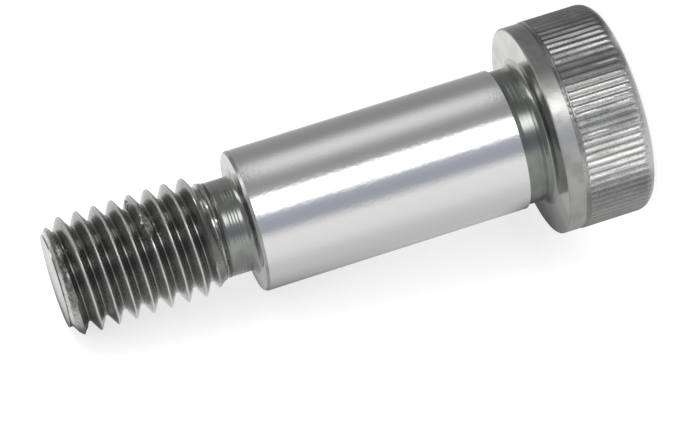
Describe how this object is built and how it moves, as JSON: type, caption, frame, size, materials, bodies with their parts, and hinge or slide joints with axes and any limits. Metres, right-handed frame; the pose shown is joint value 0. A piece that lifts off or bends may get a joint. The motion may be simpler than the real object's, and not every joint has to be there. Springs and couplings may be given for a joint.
{
  "type": "shoulder bolt",
  "caption": "Socket head shoulder bolt: knurled round cap head, ground cylindrical shoulder, undercut neck and coarse metric thread with a chamfered tip.",
  "frame": {"origin": "centre of the head's top face, on which the bolt stands", "axes": "+Z along the bolt's axis from the head's top face to the threaded tip, +X square to one flat of the hexagon socket"},
  "size_m": [0.018, 0.018, 0.0494],
  "materials": {
    "steel": "ground shoulder, rolled knurl and thread, bare steel"
  },
  "bodies": {
    "root": {"shoulder_bolt": "steel"}
  },
  "joints": []
}
